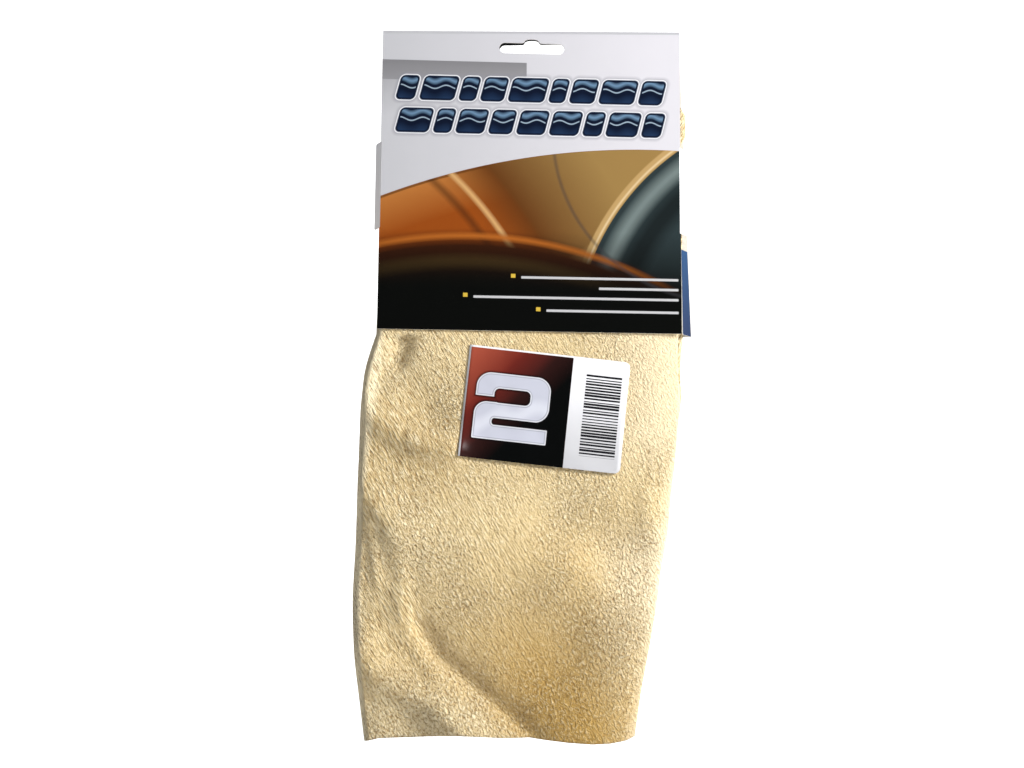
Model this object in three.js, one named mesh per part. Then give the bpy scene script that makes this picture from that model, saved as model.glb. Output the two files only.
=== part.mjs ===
// A chamois leather, folded in four and held in a folded paperboard hang card, with a size label on it.
// Millimetres, +Z up, the front towards -Y, in the pose in which the pack hangs from a peg.
// The origin is the top of the hang slot's hump, on the card's fold line, where the peg carries the pack.
import * as THREE from 'three';

const radians = THREE.MathUtils.degToRad;

// Paperboard of the card
const board = 0.5;
const seam = 0.3;                  // gap along a crease between two pieces of the card
const cardWidth = 150;
const panelHeight = 154.5;         // from the top of the fold to the bottom edge of the front panel
const backPanelExtra = 3;          // how much longer the back panel is
const foldRoom = 2;                // gap between the two panels at the fold
const foldSkew = 1.25;             // degrees that the fold is off square
const lean = 3.6;                  // degrees that the leather pushes the front panel forward
const cornerRound = 0.5;

// Hang slot
const slotWidth = 32.7;
const slotHeight = 5.5;
const humpWidth = 10.4;
const humpHeight = 2.1;
const slotDrop = 9.4;              // from the top of the fold to the middle of the slot

// Side tabs of the front panel
const upperTabDrop = 59.5;         // from the top of the fold
const upperTabHeight = 44;
const upperTabDepth = 7.2;
const tabBevel = 0.5;
const tabInset = 0.45;             // how far the crease lies inside the panel's side edge
const leftSplay = 24;              // degrees that the left tab stands out from square
const rightSplay = 38;

// Side tab of the back panel
const lowerTabGap = 11;            // from the upper tabs' bottom end down to the lower tab's top end
const lowerTabTuck = 27;           // degrees that the tab leans in past square
const lowerTabClearance = 0.4;     // between the tab's free edge and the front panel

// Chamois leather
const hide = 0.6;
const hideDrop = 39;               // from the top of the fold to the top of the leather
const hideLength = 312;
const panelClearance = 0.65;       // between the leather and a panel
const leftClearance = 1.5;         // between the leather's left fold and the card's side, at the top
const rightClearance = 1.2;        // between the front layer's edge and the front panel's side
const foldRise = 3;                // height of the strongest drape fold
const foldBreadth = 9;             // half breadth of a drape fold

// Size label on the leather
const labelWidth = 79.4;
const labelHeight = 55.2;
const labelThickness = 0.25;
const labelRound = 3;
const labelGap = 0.3;
const labelBelowCard = 38.1;       // from the front panel's bottom edge to the middle of the label
const labelOffset = 3.3;           // from the middle of the card to the middle of the label
const labelTurn = 6.8;             // degrees clockwise

// Places worked out from the sizes above
const halfCard = cardWidth / 2;
const foldRadius = foldRoom / 2 + board;
const foldTop = slotDrop - slotHeight / 2 - humpHeight;
const foldLine = foldTop - foldRadius;
const backPanelHeight = panelHeight + backPanelExtra;
const hangLength = hideDrop + hideLength - panelHeight;
const labelDrop = panelHeight + labelBelowCard;
const slope = Math.tan(radians(lean));
const skew = Math.tan(radians(foldSkew));

const colours = { board: 0xe9e9ec, inside: 0xf4f4f2, tab: 0xdfe0e4, blue: 0x50608f, hide: 0xe3cd9d, label: 0xb2472a };

function material(color, roughness) {
  return new THREE.MeshStandardMaterial({ color, roughness, metalness: 0 });
}

function node(name, geometry, finish) {
  const mesh = new THREE.Mesh(geometry, finish);
  mesh.name = name;
  return mesh;
}

// A sheet of board in the plane x, z, with its front face at the given y.
function sheet(shape, frontFace) {
  const geometry = new THREE.ExtrudeGeometry(shape, { depth: board, bevelEnabled: false, curveSegments: 8 });
  geometry.rotateX(Math.PI / 2);
  return geometry.translate(0, board + frontFace, 0);
}

// The slot: two round ends, a straight bottom and a bell-shaped hump that centres the peg.
function slotPath() {
  const middle = foldRadius - slotDrop;
  const radius = slotHeight / 2;
  const reach = slotWidth / 2 - radius;
  const top = middle + radius;
  const shoulder = humpWidth / 2;
  const bell = shoulder / 2;
  const path = new THREE.Path();
  path.moveTo(-reach, top);
  path.absarc(-reach, middle, radius, Math.PI / 2, Math.PI * 3 / 2, false);
  path.absarc(reach, middle, radius, -Math.PI / 2, Math.PI / 2, false);
  path.lineTo(shoulder, top);
  path.bezierCurveTo(bell, top, shoulder, top + humpHeight, 0, top + humpHeight);
  path.bezierCurveTo(-shoulder, top + humpHeight, -bell, top, -shoulder, top);
  path.lineTo(-reach, top);
  return path;
}

// A panel's outline. Its top edge is cut along the fold line, so in the turned panel it slopes by the skew.
// Each inset is a stretch of a side edge, given by its side, top and bottom, that lies inside the others.
function panelShape(turn, height, insets) {
  const bottom = foldRadius - height;
  const topAt = (x) => x * turn - seam;
  const inset = (side) => insets.filter((stretch) => stretch.side === side);
  const shape = new THREE.Shape();
  shape.moveTo(-halfCard, topAt(-halfCard));
  for (const stretch of inset(-1)) {
    shape.lineTo(-halfCard, stretch.top);
    shape.lineTo(-halfCard + tabInset, stretch.top);
    shape.lineTo(-halfCard + tabInset, stretch.bottom);
    shape.lineTo(-halfCard, stretch.bottom);
  }
  shape.lineTo(-halfCard, bottom + cornerRound);
  shape.absarc(cornerRound - halfCard, bottom + cornerRound, cornerRound, Math.PI, Math.PI * 3 / 2, false);
  shape.absarc(halfCard - cornerRound, bottom + cornerRound, cornerRound, -Math.PI / 2, 0, false);
  for (const stretch of inset(1)) {
    shape.lineTo(halfCard, stretch.bottom);
    shape.lineTo(halfCard - tabInset, stretch.bottom);
    shape.lineTo(halfCard - tabInset, stretch.top);
    shape.lineTo(halfCard, stretch.top);
  }
  shape.lineTo(halfCard, topAt(halfCard));
  shape.lineTo(-halfCard, topAt(-halfCard));
  shape.holes.push(slotPath());
  return shape;
}

// The room that a wall leaves at its crease, so that it clears the panel at every angle of its swing.
function creaseRoom(fold) {
  return (board + seam - board * Math.cos(fold)) / Math.sin(fold);
}

// A tab that turns about the crease at the panel's outer face. Side is 1 on the right and -1 on the left,
// and inward is 1 where the tab folds back from the front panel, or -1 where it folds forward from the back one.
function tab(name, side, inward, fold, crease, top, bottom, depths, finish) {
  const room = creaseRoom(fold);
  const shape = new THREE.Shape();
  shape.moveTo(side * room, top);
  shape.lineTo(side * (depths[0] - tabBevel), top);
  shape.lineTo(side * depths[0], top - tabBevel);
  shape.lineTo(side * depths[1], bottom + tabBevel);
  shape.lineTo(side * (depths[1] - tabBevel), bottom);
  shape.lineTo(side * room, bottom);
  const wall = node(name, sheet(shape, inward > 0 ? 0 : -board), finish);
  const hinge = new THREE.Group();
  hinge.position.set(side * crease, 0, 0);
  hinge.rotation.z = side * inward * fold;
  return hinge.add(wall);
}

// The front panel and its two tabs
function frontPanel() {
  const group = new THREE.Group();
  group.position.set(0, -foldRadius, foldLine);
  group.rotation.set(-radians(lean), radians(foldSkew), 0);
  const top = foldRadius - upperTabDrop;
  const bottom = top - upperTabHeight;
  const slit = seam / 2;
  const insets = [-1, 1].map((side) => ({ side, top: top + slit, bottom: bottom - slit }));
  group.add(node('card_front_panel', sheet(panelShape(skew, panelHeight, insets), 0), material(colours.board, 0.35)));
  const crease = halfCard - tabInset;
  const depths = [upperTabDepth, upperTabDepth];
  const leftFold = radians(90 - leftSplay);
  const rightFold = radians(90 - rightSplay);
  const finish = material(colours.tab, 0.4);
  group.add(tab('upper_left_tab', -1, 1, leftFold, crease, top, bottom, depths, finish));
  group.add(tab('upper_right_tab', 1, 1, rightFold, crease, top, bottom, depths, finish.clone()));
  return group;
}

// The back panel and its tab, whose free edge slants to follow the leaning front panel
function backPanel() {
  const group = new THREE.Group();
  group.position.set(0, foldRadius, foldLine);
  group.rotation.set(0, -radians(foldSkew), 0);
  group.add(node('card_back_panel', sheet(panelShape(-skew, backPanelHeight, []), -board), material(colours.inside, 0.7)));
  const top = foldRadius - upperTabDrop - upperTabHeight - lowerTabGap;
  const bottom = foldRadius - backPanelHeight;
  const fold = radians(90 + lowerTabTuck);
  const depthAt = (z) => (2 * foldRadius - board - z * slope - lowerTabClearance) / Math.sin(fold);
  const finish = material(colours.blue, 0.4);
  const depths = [depthAt(top), depthAt(bottom)];
  group.add(tab('lower_right_tab', 1, -1, fold, halfCard, top, bottom, depths, finish));
  return group;
}

// The strip of board that goes over the top, a half ring along the card's width
function topFold() {
  const ring = new THREE.Shape();
  ring.moveTo(foldRadius, 0);
  ring.absarc(0, 0, foldRadius, 0, Math.PI, false);
  ring.absarc(0, 0, foldRadius - board, Math.PI, 0, true);
  const strip = new THREE.ExtrudeGeometry(ring, { depth: cardWidth, bevelEnabled: false, curveSegments: 12 });
  const [alongX, alongY, alongZ] = [0, 1, 2].map((axis) => new THREE.Vector3().setComponent(axis, 1));
  strip.applyMatrix4(new THREE.Matrix4().makeBasis(alongY, alongZ, alongX));
  strip.translate(-halfCard, 0, foldLine);
  return node('card_top_fold', strip, material(colours.board, 0.35));
}

// A value read from a table of pairs, straight between its rows.
function between(table, t) {
  const next = table.findIndex((row) => row[0] >= t);
  if (next < 0) return table[table.length - 1][1];
  if (next === 0) return table[0][1];
  const [low, high] = [table[next - 1], table[next]];
  return THREE.MathUtils.lerp(low[1], high[1], (t - low[0]) / (high[0] - low[0]));
}

// The leather's sides below the card, in shares of half the card's width, by the share of the hanging stretch
const leftSideShares = [
  [0, 1.05], [0.084, 1.12], [0.165, 1.147], [0.32, 1.167], [0.52, 1.187],
  [0.68, 1.208], [0.8, 1.195], [0.91, 1.164], [1, 1.136],
];
const rightSideShares = [
  [0, 0.967], [0.028, 0.959], [0.09, 0.948], [0.17, 0.953], [0.25, 0.925], [0.41, 0.865],
  [0.57, 0.804], [0.73, 0.719], [0.87, 0.652], [1, 0.6],
];
const mouthSlantShare = 0.03;      // how far the right side slants from back to front at the card's mouth
const slantEndShare = 0.33;        // where on the hanging stretch that slant has gone
// How far forward the front layer hangs, in shares of its depth at the mouth of the card
const forwardShares = [[0, 1], [0.028, 1.053], [0.374, 1.224], [0.74, 1.123], [1, 0.963]];
// How far the bottom edge sags, in shares of the leather's length, by the share of half the card's width
const sagShares = [
  [-1.13, 0], [-0.85, -0.0048], [-0.54, -0.008], [-0.3, -0.0016], [0, 0.003],
  [0.18, 0.0083], [0.32, 0.011], [0.45, 0.0098], [0.545, 0.0054], [0.6, -0.0006],
];
const sagStartShare = 0.6;
// The drape folds: two ends, each in shares of half the card's width and of the hanging stretch,
// then the height and the breadth in shares of the strongest fold's
const drapeFoldShares = [
  [-1.01, 0.19, -0.66, 0.235, 0.33, 0.8],
  [-1.27, 0.34, -0.6, 0.74, 0.67, 1.2],
  [-0.85, 0.63, -0.05, 1, -0.55, 0.75],
  [-0.88, 0.58, -0.36, 0.99, 0.4, 0.75],
  [-1.2, 0.725, -0.4, 1, 0.67, 0.85],
  [-0.85, 0, -0.99, 0.15, -0.55, 0.7],
  [0.58, 0.42, 0.78, 0.57, -0.25, 0.75],
  [-0.05, 0.45, 0.64, 0.6, 0.27, 1.8],
];
const foldStartShare = 0.06;       // the hanging stretch over which the folds come up below the card
const backLayerShare = 0.65;       // how much of a fold still shows in the layer at the back

// How the hide is folded: its four layers, the roundness of the outer fold, and the steps along each run
const lastLayer = 3;
const outerRoundShare = 0.55;
const nestShare = 0.035;           // how far the inner fold lies inside the outer one
const frontCrowding = 1.35;        // draws the front layer's steps towards its folds on the left
const steps = { front: 15, outerFold: 5, layer: 4, innerFold: 3 };
const rowShares = [0.028, 0.2, 0.374, 0.45, 0.53, 0.61, 0.69, 0.77, 0.85, 0.93, 1];

const hideBack = foldRoom / 2 - panelClearance;

// The front face of the front layer, without its folds
function hideFront(drop) {
  const inside = foldRoom / 2 + (Math.min(drop, panelHeight) - foldRadius) * slope - panelClearance;
  return -inside * between(forwardShares, Math.max(drop - panelHeight, 0) / hangLength);
}

// The left and the right side of the leather at a height and a depth y
function hideSides(drop, y) {
  const share = (drop - panelHeight) / hangLength;
  const depthShare = (hideBack - y) / (hideBack - hideFront(drop));
  if (share > 0) {
    const slant = mouthSlantShare * (1 - 2 * depthShare) * Math.max(1 - share / slantEndShare, 0);
    return [-halfCard * between(leftSideShares, share), halfCard * (between(rightSideShares, share) + slant)];
  }
  const spread = THREE.MathUtils.smoothstep(drop, upperTabDrop + upperTabHeight, panelHeight);
  const left = THREE.MathUtils.lerp(halfCard - leftClearance, halfCard * leftSideShares[0][1], spread);
  const frontEdge = halfCard - drop * skew - rightClearance;
  return [-left, THREE.MathUtils.lerp(halfCard, frontEdge, depthShare)];
}

// The distance from a point of the hanging stretch to the line between a fold's two ends
function distanceToFold(x, hang, [x1, t1, x2, t2]) {
  const start = new THREE.Vector3(x1 * halfCard, t1 * hangLength, 0);
  const end = new THREE.Vector3(x2 * halfCard, t2 * hangLength, 0);
  const point = new THREE.Vector3(x, hang, 0);
  return new THREE.Line3(start, end).closestPointToPoint(point, true, new THREE.Vector3()).distanceTo(point);
}

// How far the drape folds lift the front layer: none inside the card
function relief(x, drop) {
  const hang = drop - panelHeight;
  const lifts = drapeFoldShares.map((fold) => {
    const spread = distanceToFold(x, hang, fold) / (fold[5] * foldBreadth);
    return fold[4] * foldRise * Math.exp(-spread * spread);
  });
  const shown = THREE.MathUtils.smoothstep(hang / hangLength, 0, foldStartShare);
  return shown * lifts.reduce((sum, lift) => sum + lift, 0);
}

// The middle line of the folded strip at a height: across the front, round the whole pack on the left,
// across the back, and then in again through the third and the second layer.
function sectionLine(drop) {
  const front = hideFront(drop) + hide / 2;
  const back = hideBack - hide / 2;
  const outerReach = outerRoundShare * (back - front) / 2;
  const innerReach = (back - front) / lastLayer / 2;
  const outerInset = outerReach + hide / 2;
  const innerInset = innerReach + hide / 2;
  const nestedInset = innerInset + hide + nestShare * cardWidth;
  const depthOf = (layer) => THREE.MathUtils.lerp(front, back, layer / lastLayer);
  const sideAt = (side, y, inset) => (side < 0 ? hideSides(drop, y)[0] + inset : hideSides(drop, y)[1] - inset);
  const line = [];
  const across = (layer, side, startInset, endInset, count, crowding = 1) => {
    const y = depthOf(layer);
    const [start, end] = [sideAt(-side, y, startInset), sideAt(side, y, endInset)];
    for (let step = 0; step <= count; step += 1) {
      const t = 1 - (1 - step / count) ** crowding;
      line.push([THREE.MathUtils.lerp(start, end, t), y]);
    }
  };
  const round = (layer, next, side, inset, reach, count) => {
    for (let step = 1; step < count; step += 1) {
      const angle = Math.PI * step / count;
      const y = THREE.MathUtils.lerp(depthOf(layer), depthOf(next), (1 - Math.cos(angle)) / 2);
      line.push([sideAt(side, y, inset) + side * reach * Math.sin(angle), y]);
    }
  };
  across(0, -1, 0, outerInset, steps.front, frontCrowding);
  round(0, lastLayer, -1, outerInset, outerReach, steps.outerFold);
  across(lastLayer, 1, outerInset, innerInset, steps.layer);
  round(lastLayer, 2, 1, innerInset, innerReach, steps.innerFold);
  across(2, -1, innerInset, nestedInset, steps.layer);
  round(2, 1, -1, nestedInset, innerReach, steps.innerFold);
  across(1, 1, nestedInset, innerInset, steps.layer);
  return line;
}

// One row of the hide: for each point of its middle line, the place on its outer face and on its inner one
function hideRow(drop) {
  const line = sectionLine(drop);
  const sagging = THREE.MathUtils.smoothstep((drop - panelHeight) / hangLength, sagStartShare, 1) * hideLength;
  return line.map(([x, y], index) => {
    const before = line[Math.max(index - 1, 0)];
    const after = line[Math.min(index + 1, line.length - 1)];
    const along = new THREE.Vector2(after[0] - before[0], after[1] - before[1]).normalize();
    const depthShare = (hideBack - y) / (hideBack - hideFront(drop));
    const lift = relief(x, drop) * THREE.MathUtils.lerp(backLayerShare, 1, depthShare);
    const z = foldTop - drop - sagging * between(sagShares, x / halfCard);
    return [1, -1].map((face) => {
      const off = face * hide / 2;
      return [x - along.y * off, y + along.x * off - lift, z];
    });
  });
}

// The hide as one closed sheet: its two faces, its rims at the top and bottom, and its two free edges
function chamois() {
  const rows = [hideDrop, upperTabDrop + upperTabHeight, panelHeight];
  rows.push(...rowShares.map((share) => panelHeight + share * hangLength));
  const places = rows.map(hideRow);
  const columns = places[0].length;
  const at = (row, column, face) => (row * columns + column) * 2 + face;
  const triangles = [];
  const quad = (a, b, c, d) => triangles.push(a, b, c, a, c, d);
  const [outer, inner] = [0, 1];
  const lastRow = rows.length - 1;
  const lastColumn = columns - 1;
  for (let row = 0; row < lastRow; row += 1) {
    for (let column = 0; column < lastColumn; column += 1) {
      const [right, below] = [column + 1, row + 1];
      quad(at(row, column, outer), at(row, right, outer), at(below, right, outer), at(below, column, outer));
      quad(at(row, column, inner), at(below, column, inner), at(below, right, inner), at(row, right, inner));
    }
    const below = row + 1;
    quad(at(row, 0, outer), at(below, 0, outer), at(below, 0, inner), at(row, 0, inner));
    quad(at(row, lastColumn, outer), at(row, lastColumn, inner), at(below, lastColumn, inner), at(below, lastColumn, outer));
  }
  for (let column = 0; column < lastColumn; column += 1) {
    const next = column + 1;
    quad(at(0, column, outer), at(0, column, inner), at(0, next, inner), at(0, next, outer));
    quad(at(lastRow, column, outer), at(lastRow, next, outer), at(lastRow, next, inner), at(lastRow, column, inner));
  }
  const geometry = new THREE.BufferGeometry();
  geometry.setAttribute('position', new THREE.Float32BufferAttribute(places.flat(3), 3));
  geometry.setIndex(triangles);
  geometry.computeVertexNormals();
  return node('chamois', geometry, material(colours.hide, 0.95));
}

// The label, which follows the flat stretch of the front layer that it is stuck on, clear of the folds under it
function sizeLabel() {
  const [halfWidth, halfHeight] = [labelWidth / 2, labelHeight / 2];
  const shape = new THREE.Shape();
  shape.moveTo(-halfWidth, -halfHeight);
  shape.absarc(halfWidth - labelRound, labelRound - halfHeight, labelRound, -Math.PI / 2, 0, false);
  shape.absarc(halfWidth - labelRound, halfHeight - labelRound, labelRound, 0, Math.PI / 2, false);
  shape.lineTo(-halfWidth, halfHeight);
  shape.lineTo(-halfWidth, -halfHeight);
  const geometry = new THREE.ExtrudeGeometry(shape, { depth: labelThickness, bevelEnabled: false, curveSegments: 6 });
  geometry.rotateX(Math.PI / 2);
  const label = node('size_label', geometry, material(colours.label, 0.3));
  const rise = hideFront(labelDrop - halfHeight) - hideFront(labelDrop + halfHeight);
  const shares = [-1, -0.5, 0, 0.5, 1];
  const reliefAt = (u, v) => relief(labelOffset + u * halfWidth, labelDrop + v * halfHeight);
  const lift = Math.max(...shares.flatMap((u) => shares.map((v) => reliefAt(u, v))));
  label.position.set(labelOffset, hideFront(labelDrop) - labelGap - lift, foldTop - labelDrop);
  label.rotation.set(-Math.atan2(rise, labelHeight), radians(labelTurn), 0);
  return label;
}

export default new THREE.Group().add(topFold(), backPanel(), frontPanel(), chamois(), sizeLabel());
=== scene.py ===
"""The looks of a chamois leather in its hang card: napped hide, printed card, label and studio.

Lengths are in millimetres until a mesh is made, and drop is the distance below the top of the fold.
"""
import math

import bpy
import numpy as np
from mathutils import Matrix, Vector


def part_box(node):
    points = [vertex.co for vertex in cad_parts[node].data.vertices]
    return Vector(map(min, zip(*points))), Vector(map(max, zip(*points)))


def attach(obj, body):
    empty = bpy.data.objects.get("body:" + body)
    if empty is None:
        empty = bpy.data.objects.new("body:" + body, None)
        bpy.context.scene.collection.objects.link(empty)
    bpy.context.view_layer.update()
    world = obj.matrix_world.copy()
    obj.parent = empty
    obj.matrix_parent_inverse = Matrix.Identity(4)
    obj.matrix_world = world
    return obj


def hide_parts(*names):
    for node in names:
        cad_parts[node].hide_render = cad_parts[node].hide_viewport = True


MM = 0.001

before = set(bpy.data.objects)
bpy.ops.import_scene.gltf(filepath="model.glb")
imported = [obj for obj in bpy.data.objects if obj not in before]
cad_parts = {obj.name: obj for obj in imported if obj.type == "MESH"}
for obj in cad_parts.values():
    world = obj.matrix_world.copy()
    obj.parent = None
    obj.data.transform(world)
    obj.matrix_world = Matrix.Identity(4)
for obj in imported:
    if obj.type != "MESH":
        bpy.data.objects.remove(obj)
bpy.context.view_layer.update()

# Card
BOARD = 0.5
SEAM = 0.3
FOLD_RADIUS = 1.5
CARD_WIDTH = 150
CARD_HEIGHT = 154.5
LEAN = math.radians(3.6)
SKEW = math.radians(1.25)
TAB_INSET = 0.45
UPPER_TAB_DROP = 59.5
UPPER_TAB_HEIGHT = 44
UPPER_TAB_DEPTH = 7.2
LEFT_TAB_FOLD = math.radians(66)
RIGHT_TAB_FOLD = math.radians(52)
LOWER_TAB_DROP = 114.5
LOWER_TAB_FOLD = math.radians(117)
LOWER_TAB_CLEARANCE = 0.4
BACK_HEIGHT = 157.5
TAB_BEVEL = 0.5
SLOT_SHADE_BAND = 13                      # how far down the inner face has painted shade, round the hang slot
COAT = 0.06                         # depth at which the bare board shows behind the print

# Chamois leather
HIDE = 0.6
HIDE_DROP = 39
HIDE_LENGTH = 312
PANEL_CLEARANCE = 0.65              # between the leather and a panel
LEFT_CLEARANCE = 1.5                # between the leather's left fold and the card's side, at the top
RIGHT_CLEARANCE = 1.2               # between the front layer's edge and the front panel's side

# Label
LABEL_WIDTH = 79.4
LABEL_HEIGHT = 55.2
LABEL_MIDDLE = (3.3, 192.6)
LABEL_TURN = math.radians(6.8)
LABEL_ROUND = 3
LABEL_THICKNESS = 0.18
LABEL_GAP = 0.42                    # from the hide's face to the middle of the sticker
LABEL_LIFT = 1.0                    # how far the sticker's lower edge stands off

HALF_CARD = CARD_WIDTH / 2
FOLD_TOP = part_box("card_top_fold")[1][2] / MM
FOLD_LINE = FOLD_TOP - FOLD_RADIUS
HIDE_END = HIDE_DROP + HIDE_LENGTH
HANG_LENGTH = HIDE_END - CARD_HEIGHT

# Studio
FLOOR_BELOW = 60                    # from the leather's bottom edge down to the floor
FLOOR_FRONT = -3000
FLOOR_HALF_WIDTH = 4000
WALL_PLACE = 900
WALL_HEIGHT = 2500
WALL_BEND = 300                     # radius of the bend between the floor and the wall
STUDIO_PAPER = (238, 238, 238)
PAPER_GLOW = 0.6                    # what the camera sees of the backdrop's own light
WORLD_LIGHT = 0.36
KEY_PLACE = (1100, -680, 360)
KEY_TARGET = (0, 0, -180)
KEY_SIZE = 440
KEY_POWER = 33

# Camera
EYE = Vector((-57.0, -827.8, -252.15)) * MM
YAW = math.radians(3.12)
PITCH = math.radians(5.35)
ROLL = math.radians(0.61)
LENS = 59.05
SENSOR = 36


def add_camera():
    """The photograph's viewpoint: along +Y, turned by the yaw, tipped up by the pitch, then rolled."""
    camera = bpy.data.cameras.new("camera")
    camera.lens = LENS
    camera.sensor_width = SENSOR
    camera.clip_start = 0.01
    holder = bpy.data.objects.new("camera", camera)
    turn = Matrix.Rotation(-YAW, 4, "Z")
    turn = turn @ Matrix.Rotation(PITCH, 4, "X") @ Matrix.Rotation(ROLL, 4, "Y")
    holder.matrix_world = Matrix.Translation(EYE) @ turn @ Matrix.Rotation(math.pi / 2, 4, "X")
    bpy.context.scene.collection.objects.link(holder)
    bpy.context.scene.camera = holder


# Arithmetic on shader sockets
class Field:
    """A number that varies over a surface: a socket of a shader tree with plain arithmetic on it."""

    def __init__(self, tree, socket):
        self.tree = tree
        self.socket = socket

    def math(self, operation, *others, clamp=False):
        node = self.tree.nodes.new("ShaderNodeMath")
        node.operation = operation
        node.use_clamp = clamp
        for slot, value in zip(node.inputs, (self, *others)):
            if isinstance(value, Field):
                self.tree.links.new(value.socket, slot)
            else:
                slot.default_value = value
        return Field(self.tree, node.outputs[0])

    def __add__(self, other):
        return self.math("ADD", other)

    def __sub__(self, other):
        return self.math("SUBTRACT", other)

    def __mul__(self, other):
        return self.math("MULTIPLY", other)

    def __truediv__(self, other):
        return self.math("DIVIDE", other)

    def __neg__(self):
        return self.math("MULTIPLY", -1.0)

    def clamp(self):
        return self.math("ADD", 0.0, clamp=True)

    def least(self, other):
        return self.math("MINIMUM", other)

    def most(self, other):
        return self.math("MAXIMUM", other)

    def size(self):
        return self.math("ABSOLUTE")

    def root(self):
        return self.math("SQRT")

    def inverse(self):
        """One minus the field."""
        return (-self) + 1.0

    def below(self, edge, soft):
        """1 where the field is under the edge, 0 above it, over a soft step."""
        return ((-self + edge) / soft + 0.5).clamp()

    def above(self, edge, soft):
        """1 where the field is over the edge, 0 below it, over a soft step."""
        return ((self - edge) / soft + 0.5).clamp()

    def ramp(self, start, end):
        """0 at the start, 1 at the end, straight between."""
        return ((self - start) / (end - start)).clamp()


class Paint:
    """A material under construction: its tree, its shader and the colour laid down so far."""

    # The colour sockets of a mix node
    UNDER, OVER, MIXED = 6, 7, 2

    def __init__(self, name, roughness, colour):
        self.material = bpy.data.materials.new(name)
        self.material.use_nodes = True
        self.tree = self.material.node_tree
        self.shader = self.tree.nodes["Principled BSDF"]
        self.shader.inputs["Roughness"].default_value = roughness
        self.shader.inputs["Specular IOR Level"].default_value = 0.25
        self.colour = self.constant(colour)

    def constant(self, colour):
        node = self.tree.nodes.new("ShaderNodeRGB")
        node.outputs[0].default_value = (*linear(colour), 1)
        return node.outputs[0]

    def over(self, colour, mask):
        """Lays a colour, or another colour socket, over what is there, where the mask is 1."""
        node = self.tree.nodes.new("ShaderNodeMix")
        node.data_type = "RGBA"
        if isinstance(mask, Field):
            self.tree.links.new(mask.socket, node.inputs[0])
        else:
            node.inputs[0].default_value = mask
        self.tree.links.new(self.colour, node.inputs[self.UNDER])
        if isinstance(colour, bpy.types.NodeSocket):
            self.tree.links.new(colour, node.inputs[self.OVER])
        else:
            node.inputs[self.OVER].default_value = (*linear(colour), 1)
        self.colour = node.outputs[self.MIXED]

    def noise(self, vector, detail=2.0, roughness=0.5, distortion=0.0):
        """Noise of unit grain over a vector socket, as a field from 0 to 1."""
        node = self.tree.nodes.new("ShaderNodeTexNoise")
        node.inputs["Scale"].default_value = 1.0
        node.inputs["Detail"].default_value = detail
        node.inputs["Roughness"].default_value = roughness
        node.inputs["Distortion"].default_value = distortion
        self.tree.links.new(vector, node.inputs["Vector"])
        return Field(self.tree, node.outputs["Fac"])

    def placed(self, source, location=(0, 0, 0), rotation=(0, 0, 0), scale=(1, 1, 1)):
        """A vector socket scaled, turned and moved, in that order."""
        node = self.tree.nodes.new("ShaderNodeMapping")
        node.inputs["Location"].default_value = location
        node.inputs["Rotation"].default_value = rotation
        node.inputs["Scale"].default_value = scale
        self.tree.links.new(source, node.inputs["Vector"])
        return node.outputs["Vector"]

    def coordinates(self, kind="Object"):
        return self.tree.nodes.new("ShaderNodeTexCoord").outputs[kind]

    def uv(self, name):
        node = self.tree.nodes.new("ShaderNodeUVMap")
        node.uv_map = name
        return node.outputs["UV"]

    def split(self, vector):
        node = self.tree.nodes.new("ShaderNodeSeparateXYZ")
        self.tree.links.new(vector, node.inputs[0])
        return [Field(self.tree, output) for output in node.outputs]

    def bump(self, height, distance):
        """Turns a height field into relief of the given depth in millimetres."""
        node = self.tree.nodes.new("ShaderNodeBump")
        node.inputs["Distance"].default_value = distance * MM
        self.tree.links.new(height.socket, node.inputs["Height"])
        self.tree.links.new(node.outputs["Normal"], self.shader.inputs["Normal"])

    def done(self):
        self.tree.links.new(self.colour, self.shader.inputs["Base Color"])
        return self.material


def linear(colour):
    """A display colour from 0 to 255 as scene-linear numbers."""
    share = np.asarray(colour, float) / 255
    return tuple(np.where(share <= 0.04045, share / 12.92, ((share + 0.055) / 1.055) ** 2.4))


# The places of the card's panels
def panel_matrix(side):
    """Where a panel's own axes lie: side -1 is the front one, which leans, and 1 the back one."""
    lean = Matrix.Rotation(-LEAN, 4, "X") if side < 0 else Matrix.Identity(4)
    turn = Matrix.Rotation(-side * SKEW, 4, "Y")
    return Matrix.Translation((0, side * FOLD_RADIUS, FOLD_LINE)) @ lean @ turn


def panel_coordinates(paint, matrix):
    """Object coordinates as the panel's own x, depth and drop below the top of the fold, in millimetres."""
    inverse = matrix.inverted()
    rotation = inverse.to_euler("XYZ")
    scale = (1 / MM,) * 3
    local = paint.placed(paint.coordinates(), inverse.translation, rotation, scale)
    x, depth, height = paint.split(local)
    return x, depth, -height + FOLD_RADIUS


def add_mesh(name, points, faces, material, smooth=True, uv=None):
    """A mesh object from points in millimetres and faces as index lists, with a UV map where one is given."""
    mesh = bpy.data.meshes.new(name)
    mesh.from_pydata((np.asarray(points) * MM).tolist(), [], [list(map(int, face)) for face in faces])
    mesh.validate()
    mesh.materials.append(material)
    mesh.polygons.foreach_set("use_smooth", [smooth] * len(mesh.polygons))
    if uv is not None:
        layer = mesh.uv_layers.new(name="surface")
        corners = np.empty(len(mesh.loops), int)
        mesh.loops.foreach_get("vertex_index", corners)
        layer.data.foreach_set("uv", np.asarray(uv, np.float32)[corners].ravel())
    mesh.update()
    piece = bpy.data.objects.new(name, mesh)
    bpy.context.scene.collection.objects.link(piece)
    return piece


# The leather's colours and nap
NAP = (213, 190, 143)
GOLDEN = (184, 148, 78)
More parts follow.
